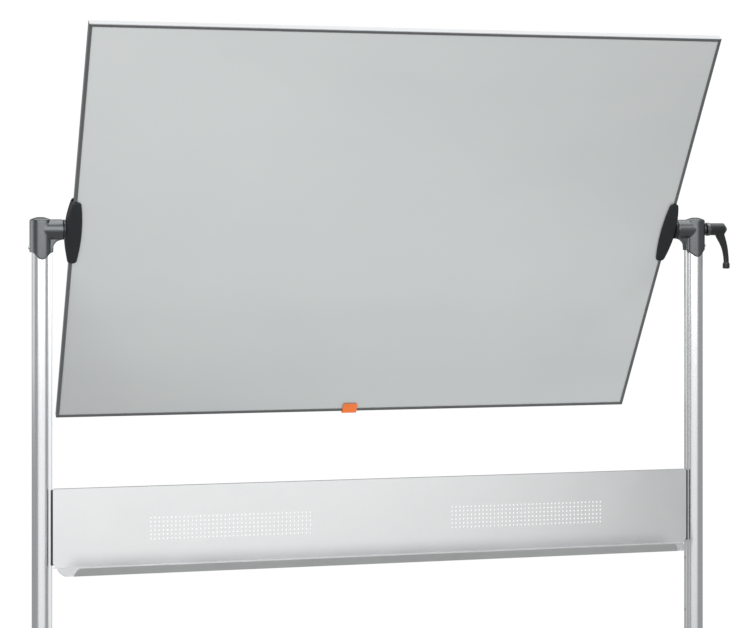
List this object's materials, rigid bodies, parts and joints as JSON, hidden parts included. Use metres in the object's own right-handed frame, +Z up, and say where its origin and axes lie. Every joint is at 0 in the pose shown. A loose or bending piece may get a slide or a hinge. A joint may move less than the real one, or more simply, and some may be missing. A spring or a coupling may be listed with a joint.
{
  "type": "rolling whiteboard",
  "caption": "Wheeled whiteboard: a double-sided board that turns over between two posts with a clamp lever, above a perforated pen tray.",
  "frame": {"origin": "on the floor under the middle of the overall width (clamp lever included) and midway between the front and rear casters; the middle between the posts is at x = -25.5 mm", "axes": "+Z up, +X along the board towards the clamp lever, -Y towards the viewer of the board's front and the pen tray"},
  "size_m": [1.4157, 0.6434, 1.799],
  "materials": {
    "writing_surface": "glossy lacquered steel, light grey",
    "edge_frame": "satin anodised",
    "core_board": "honeycomb core, unfinished",
    "dark_moulding": "fine-textured satin, dark grey",
    "knuckle_lacquer": "die cast, satin dark grey lacquer",
    "orange_plastic": "smooth satin",
    "satin_aluminium": "fine brushed lengthways, anodised",
    "tray_silver": "satin silver lacquer",
    "cast_grey": "powder coated",
    "nylon": "natural",
    "lever_nylon": "glass-filled, fine grain",
    "zinc_steel": "bright zinc",
    "dark_steel": "blackened",
    "spring_steel": "oiled",
    "brass_insert": "machined",
    "caster_plastic": "fine grain",
    "caster_tyre": "grey soft tread",
    "brake_plastic": "fine grain"
  },
  "bodies": {
    "stand": {"post_left": "satin_aluminium", "post_right": "satin_aluminium", "knuckle_left": "knuckle_lacquer", "knuckle_right": "knuckle_lacquer", "pivot_bush_left": "nylon", "pivot_bush_right": "nylon", "knuckle_screws": "zinc_steel", "clamp_insert": "brass_insert", "clamp_pad": "nylon", "tray_panel": "tray_silver", "tray_bracket_left": "dark_moulding", "tray_bracket_right": "dark_moulding", "tray_screws": "zinc_steel", "foot_left": "satin_aluminium", "foot_right": "satin_aluminium", "foot_end_caps": "dark_moulding", "post_socket_left": "cast_grey", "post_socket_right": "cast_grey", "socket_bolts": "zinc_steel", "caster_stems": "zinc_steel"},
    "board": {"frame_top": "edge_frame", "frame_bottom": "edge_frame", "frame_left": "edge_frame", "frame_right": "edge_frame", "front_sheet": "writing_surface", "core_panel": "core_board", "back_sheet": "writing_surface", "corner_keys": "dark_moulding", "edge_tab": "orange_plastic", "pivot_plate_front_left": "dark_moulding", "pivot_plate_rear_left": "dark_moulding", "pivot_plate_front_right": "dark_moulding", "pivot_plate_rear_right": "dark_moulding", "trunnion_left": "dark_moulding", "trunnion_right": "dark_moulding", "plate_screws": "zinc_steel"},
    "clamp_screw": {"clamp_stud": "dark_steel", "lever_screw": "dark_steel", "lever_spring": "spring_steel"},
    "clamp_handle": {"lever_handle": "lever_nylon"},
    "caster_front_left": {"caster_hood_front_left": "caster_plastic"},
    "wheels_front_left": {"caster_axle_front_left": "zinc_steel", "caster_rims_front_left": "caster_plastic", "caster_tyres_front_left": "caster_tyre"},
    "brake_front_left": {"caster_brake_front_left": "brake_plastic"},
    "caster_front_right": {"caster_hood_front_right": "caster_plastic"},
    "wheels_front_right": {"caster_axle_front_right": "zinc_steel", "caster_rims_front_right": "caster_plastic", "caster_tyres_front_right": "caster_tyre"},
    "brake_front_right": {"caster_brake_front_right": "brake_plastic"},
    "caster_rear_left": {"caster_hood_rear_left": "caster_plastic"},
    "wheels_rear_left": {"caster_axle_rear_left": "zinc_steel", "caster_rims_rear_left": "caster_plastic", "caster_tyres_rear_left": "caster_tyre"},
    "brake_rear_left": {"caster_brake_rear_left": "brake_plastic"},
    "caster_rear_right": {"caster_hood_rear_right": "caster_plastic"},
    "wheels_rear_right": {"caster_axle_rear_right": "zinc_steel", "caster_rims_rear_right": "caster_plastic", "caster_tyres_rear_right": "caster_tyre"},
    "brake_rear_right": {"caster_brake_rear_right": "brake_plastic"}
  },
  "joints": [
    {"name": "board_tilt", "type": "hinge", "parent": "stand", "child": "board", "pos_m": [-0.0255, 0, 1.43], "axis": [1, 0, 0], "continuous": true},
    {"name": "clamp_turn", "type": "hinge", "parent": "stand", "child": "clamp_screw", "pos_m": [0.672, 0, 1.43], "axis": [1, 0, 0], "range_deg": [0, 150]},
    {"name": "handle_lift", "type": "slide", "parent": "clamp_screw", "child": "clamp_handle", "axis": [1, 0, 0], "range_m": [0, 0.004], "stiffness_N_per_m": 900, "springref_m": -0.002, "deforming": ["lever_spring"]},
    {"name": "swivel_front_left", "type": "hinge", "parent": "stand", "child": "caster_front_left", "pos_m": [-0.683, -0.262, 0.05], "axis": [0, 0, 1], "continuous": true},
    {"name": "roll_front_left", "type": "hinge", "parent": "caster_front_left", "child": "wheels_front_left", "pos_m": [-0.683, -0.28, 0.025], "axis": [1, 0, 0], "continuous": true},
    {"name": "brake_front_left_press", "type": "hinge", "parent": "caster_front_left", "child": "brake_front_left", "pos_m": [-0.683, -0.29832, 0.04683], "axis": [1, 0, 0], "range_deg": [0, 4]},
    {"name": "swivel_front_right", "type": "hinge", "parent": "stand", "child": "caster_front_right", "pos_m": [0.632, -0.262, 0.05], "axis": [0, 0, 1], "continuous": true},
    {"name": "roll_front_right", "type": "hinge", "parent": "caster_front_right", "child": "wheels_front_right", "pos_m": [0.632, -0.28, 0.025], "axis": [1, 0, 0], "continuous": true},
    {"name": "brake_front_right_press", "type": "hinge", "parent": "caster_front_right", "child": "brake_front_right", "pos_m": [0.632, -0.29832, 0.04683], "axis": [1, 0, 0], "range_deg": [0, 4]},
    {"name": "swivel_rear_left", "type": "hinge", "parent": "stand", "child": "caster_rear_left", "pos_m": [-0.683, 0.262, 0.05], "axis": [0, 0, 1], "continuous": true},
    {"name": "roll_rear_left", "type": "hinge", "parent": "caster_rear_left", "child": "wheels_rear_left", "pos_m": [-0.683, 0.28, 0.025], "axis": [1, 0, 0], "continuous": true},
    {"name": "brake_rear_left_press", "type": "hinge", "parent": "caster_rear_left", "child": "brake_rear_left", "pos_m": [-0.683, 0.29832, 0.04683], "axis": [-1, 0, 0], "range_deg": [0, 4]},
    {"name": "swivel_rear_right", "type": "hinge", "parent": "stand", "child": "caster_rear_right", "pos_m": [0.632, 0.262, 0.05], "axis": [0, 0, 1], "continuous": true},
    {"name": "roll_rear_right", "type": "hinge", "parent": "caster_rear_right", "child": "wheels_rear_right", "pos_m": [0.632, 0.28, 0.025], "axis": [1, 0, 0], "continuous": true},
    {"name": "brake_rear_right_press", "type": "hinge", "parent": "caster_rear_right", "child": "brake_rear_right", "pos_m": [0.632, 0.29832, 0.04683], "axis": [-1, 0, 0], "range_deg": [0, 4]}
  ]
}
